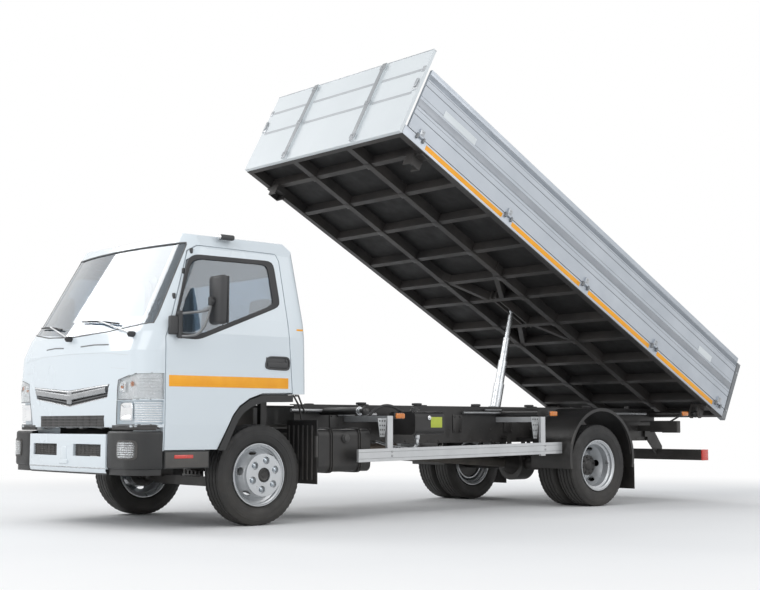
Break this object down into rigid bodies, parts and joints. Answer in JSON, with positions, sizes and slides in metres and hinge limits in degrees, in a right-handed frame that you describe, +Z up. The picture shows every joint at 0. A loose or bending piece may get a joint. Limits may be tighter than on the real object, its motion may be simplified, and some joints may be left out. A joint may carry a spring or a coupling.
{
  "type": "cab-over tipper truck",
  "caption": "Light cab-over tipper truck with a tilting cab, steering front wheels, twin rear wheels and a raised load bed with folding sides, tailgate and telescopic hoist.",
  "frame": {"origin": "bottom centre of the overall box, on the road", "axes": "+Y towards the rear of the truck, +X to its left side, +Z up"},
  "size_m": [2.54, 7.2878, 3.9916],
  "materials": {
    "black_steel": "satin black chassis paint",
    "engine_block": "dull cast",
    "exhaust_steel": "heat-dulled",
    "cab_paint": "white gloss paint",
    "dark_plastic": "dark grey grained plastic",
    "tank_black": "satin",
    "lamp_lens": "clear lens",
    "rear_lens": "red lens",
    "grille_dark": "dark with bright bar",
    "glass": "light tint",
    "seat_cloth": "woven",
    "wheel_silver": "silver",
    "tyre_rubber": "matt",
    "side_aluminium": "anodised",
    "bed_grey": "light grey",
    "floor_steel": "worn",
    "hoist_steel": "polished"
  },
  "bodies": {
    "chassis": {"frame_rails": "black_steel", "frame_cross_members": "black_steel", "sub_rails": "black_steel", "sub_cross_members": "black_steel", "front_axle": "black_steel", "rear_axle": "black_steel", "leaf_springs": "black_steel", "powertrain": "engine_block", "exhaust": "exhaust_steel", "bumper": "cab_paint", "bumper_corners": "dark_plastic", "fog_lamps": "lamp_lens", "fuel_tank": "tank_black", "oil_tank": "black_steel", "side_guards": "side_aluminium", "mudguards": "dark_plastic", "underrun_bar": "black_steel", "rear_lamps": "rear_lens"},
    "cab": {"cab_shell": "cab_paint", "cab_glass": "glass", "headlamps": "lamp_lens", "grille": "grille_dark", "cab_lower_trim": "dark_plastic", "dashboard": "dark_plastic", "seats": "seat_cloth"},
    "steering_wheel": {"steering_wheel": "dark_plastic"},
    "door_left": {"door_left": "cab_paint", "door_glass_left": "glass", "mirror_left": "dark_plastic"},
    "door_right": {"door_right": "cab_paint", "door_glass_right": "glass", "mirror_right": "dark_plastic"},
    "knuckle_left": {"knuckle_left": "black_steel"},
    "knuckle_right": {"knuckle_right": "black_steel"},
    "tie_rod": {"tie_rod": "black_steel"},
    "wheel_front_left": {"wheel_front_left": "wheel_silver", "tyre_front_left": "tyre_rubber"},
    "wheel_front_right": {"wheel_front_right": "wheel_silver", "tyre_front_right": "tyre_rubber"},
    "wheels_rear_left": {"wheels_rear_left": "wheel_silver", "tyres_rear_left": "tyre_rubber"},
    "wheels_rear_right": {"wheels_rear_right": "wheel_silver", "tyres_rear_right": "tyre_rubber"},
    "bed": {"bed_frame": "black_steel", "bed_hinges": "bed_grey", "bed_floor": "floor_steel", "headboard": "bed_grey", "end_posts": "bed_grey"},
    "drop_side_left": {"drop_side_left": "side_aluminium"},
    "drop_side_right": {"drop_side_right": "side_aluminium"},
    "tailgate": {"tailgate": "side_aluminium"},
    "hoist_tube": {"hoist_tube": "black_steel"},
    "hoist_stage_1": {"hoist_stage_1": "hoist_steel"},
    "hoist_stage_2": {"hoist_stage_2": "hoist_steel"},
    "hoist_stage_3": {"hoist_stage_3": "hoist_steel"},
    "hoist_stage_4": {"hoist_stage_4": "hoist_steel"}
  },
  "joints": [
    {"name": "cab_tilt", "type": "hinge", "parent": "chassis", "child": "cab", "pos_m": [0, -3.47194, 0.76], "axis": [1, 0, 0], "range_deg": [0, 45]},
    {"name": "door_left_hinge", "type": "hinge", "parent": "cab", "child": "door_left", "pos_m": [1.001, -3.39194, 1.4], "axis": [0.0436, 0, -0.999], "range_deg": [0, 70]},
    {"name": "door_right_hinge", "type": "hinge", "parent": "cab", "child": "door_right", "pos_m": [-1.001, -3.39194, 1.4], "axis": [0.0436, 0, 0.999], "range_deg": [0, 70]},
    {"name": "steer_left", "type": "hinge", "parent": "chassis", "child": "knuckle_left", "pos_m": [0.69, -2.49194, 0.3835], "axis": [0, 0, 1], "range_deg": [-35, 35]},
    {"name": "steer_right", "type": "hinge", "parent": "chassis", "child": "knuckle_right", "pos_m": [-0.69, -2.49194, 0.3835], "axis": [0, 0, 1], "range_deg": [-35, 35]},
    {"name": "tie_rod_swing", "type": "hinge", "parent": "knuckle_left", "child": "tie_rod", "pos_m": [0.69, -2.32694, 0.29], "axis": [0, 0, 1], "range_deg": [-35, 35]},
    {"name": "steering_wheel_turn", "type": "hinge", "parent": "cab", "child": "steering_wheel", "pos_m": [0.59, -3.05194, 1.4], "axis": [0, 0.5299, 0.848], "range_deg": [-560, 560]},
    {"name": "wheel_front_left_spin", "type": "hinge", "parent": "knuckle_left", "child": "wheel_front_left", "pos_m": [0.837, -2.49194, 0.3835], "axis": [1, 0, 0], "continuous": true},
    {"name": "wheel_front_right_spin", "type": "hinge", "parent": "knuckle_right", "child": "wheel_front_right", "pos_m": [-0.837, -2.49194, 0.3835], "axis": [1, 0, 0], "continuous": true},
    {"name": "wheels_rear_left_spin", "type": "hinge", "parent": "chassis", "child": "wheels_rear_left", "pos_m": [0.837, 1.35806, 0.3835], "axis": [1, 0, 0], "continuous": true},
    {"name": "wheels_rear_right_spin", "type": "hinge", "parent": "chassis", "child": "wheels_rear_right", "pos_m": [-0.837, 1.35806, 0.3835], "axis": [1, 0, 0], "continuous": true},
    {"name": "bed_tip", "type": "hinge", "parent": "chassis", "child": "bed", "pos_m": [0, 3.02806, 0.876], "axis": [-1, 0, 0], "range_deg": [-27.7, 17.3]},
    {"name": "hoist_tilt", "type": "hinge", "parent": "chassis", "child": "hoist_tube", "pos_m": [0, 0.96756, 0.6], "axis": [-1, 0, 0], "range_deg": [-11.5, 7.5]},
    {"name": "hoist_slide_1", "type": "slide", "parent": "hoist_tube", "child": "hoist_stage_1", "axis": [0, 0.2469, 0.9691], "range_m": [-0.24, 0.15]},
    {"name": "hoist_slide_2", "type": "slide", "parent": "hoist_stage_1", "child": "hoist_stage_2", "axis": [0, 0.2469, 0.9691], "range_m": [-0.24, 0.15]},
    {"name": "hoist_slide_3", "type": "slide", "parent": "hoist_stage_2", "child": "hoist_stage_3", "axis": [0, 0.2469, 0.9691], "range_m": [-0.24, 0.15]},
    {"name": "hoist_slide_4", "type": "slide", "parent": "hoist_stage_3", "child": "hoist_stage_4", "axis": [0, 0.2469, 0.9691], "range_m": [-0.24, 0.15]},
    {"name": "drop_side_left_hinge", "type": "hinge", "parent": "bed", "child": "drop_side_left", "pos_m": [1.129, 1.10509, 2.09452], "axis": [0, 0.8854, -0.4648], "range_deg": [0, 178]},
    {"name": "drop_side_right_hinge", "type": "hinge", "parent": "bed", "child": "drop_side_right", "pos_m": [-1.129, 1.10509, 2.09452], "axis": [0, -0.8854, 0.4648], "range_deg": [0, 178]},
    {"name": "tailgate_swing", "type": "hinge", "parent": "bed", "child": "tailgate", "pos_m": [0, 3.59695, 1.39165], "axis": [1, 0, 0], "range_deg": [0, 60]}
  ],
  "couplings": [
    {"joint": "steer_right", "follows": "steer_left", "ratio": 1},
    {"joint": "tie_rod_swing", "follows": "steer_left", "ratio": -1},
    {"joint": "steering_wheel_turn", "follows": "steer_left", "ratio": 16},
    {"joint": "hoist_tilt", "follows": "bed_tip", "ratio": 0.4},
    {"joint": "hoist_slide_1", "follows": "bed_tip", "m_per_rad": 0.48701},
    {"joint": "hoist_slide_2", "follows": "bed_tip", "m_per_rad": 0.48701},
    {"joint": "hoist_slide_3", "follows": "bed_tip", "m_per_rad": 0.48701},
    {"joint": "hoist_slide_4", "follows": "bed_tip", "m_per_rad": 0.48701}
  ]
}
